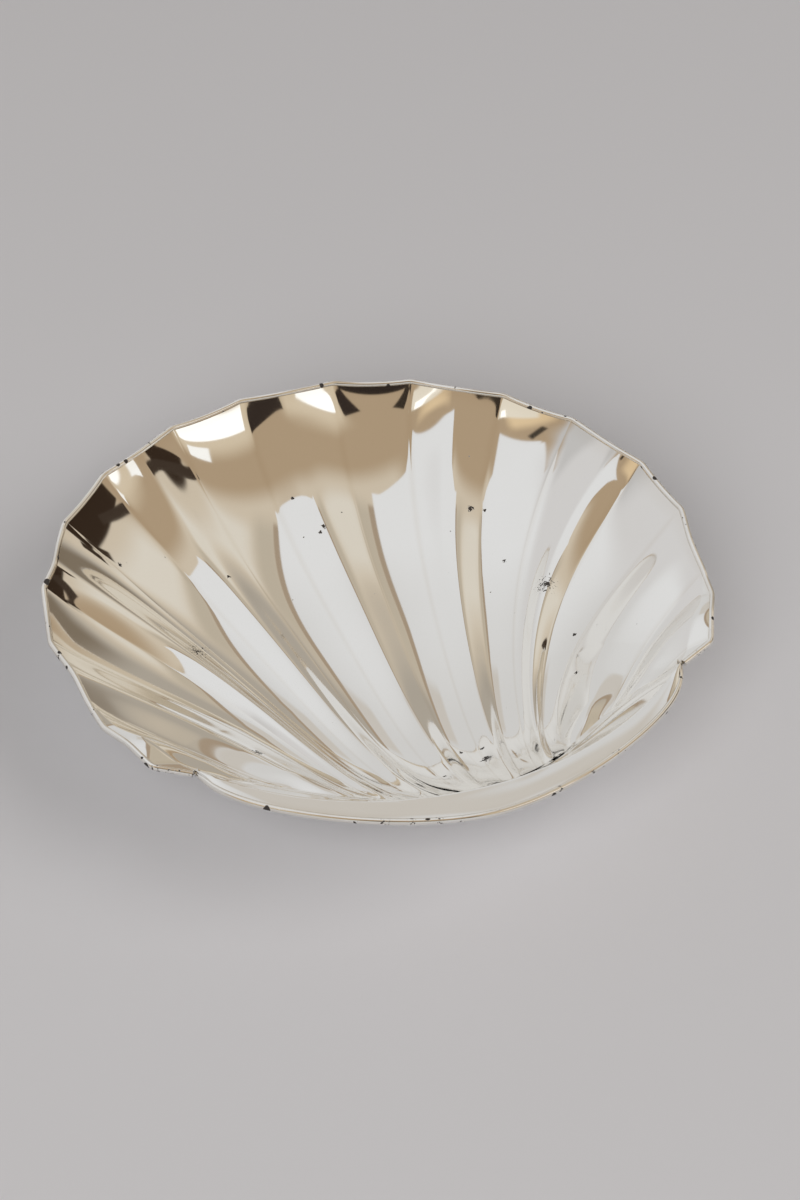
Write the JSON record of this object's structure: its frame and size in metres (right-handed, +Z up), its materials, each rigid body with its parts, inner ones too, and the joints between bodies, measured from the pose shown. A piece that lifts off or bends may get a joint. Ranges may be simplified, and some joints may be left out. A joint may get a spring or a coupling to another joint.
{
  "type": "shell dish",
  "caption": "Shallow fluted scallop-shell dish in silver-plated sheet, with a wire border and small ball feet.",
  "frame": {"origin": "middle of the dish in plan, on the surface that its feet stand on", "axes": "+Z up out of the bowl, +Y from the hinge of the shell towards its far rim, +X across the fan"},
  "size_m": [0.2004, 0.2046, 0.0434],
  "materials": {
    "silver_plate": "mirror polish, warm silver",
    "worn_silver": "polished, rubbed at the edges"
  },
  "bodies": {
    "root": {"shell_bowl": "silver_plate", "fan_rim_wire": "worn_silver", "hinge_rim_wire": "worn_silver", "foot_pad_hinge": "worn_silver", "foot_pad_left": "worn_silver", "foot_pad_right": "worn_silver", "ball_foot_hinge": "silver_plate", "ball_foot_left": "silver_plate", "ball_foot_right": "silver_plate"}
  },
  "joints": []
}
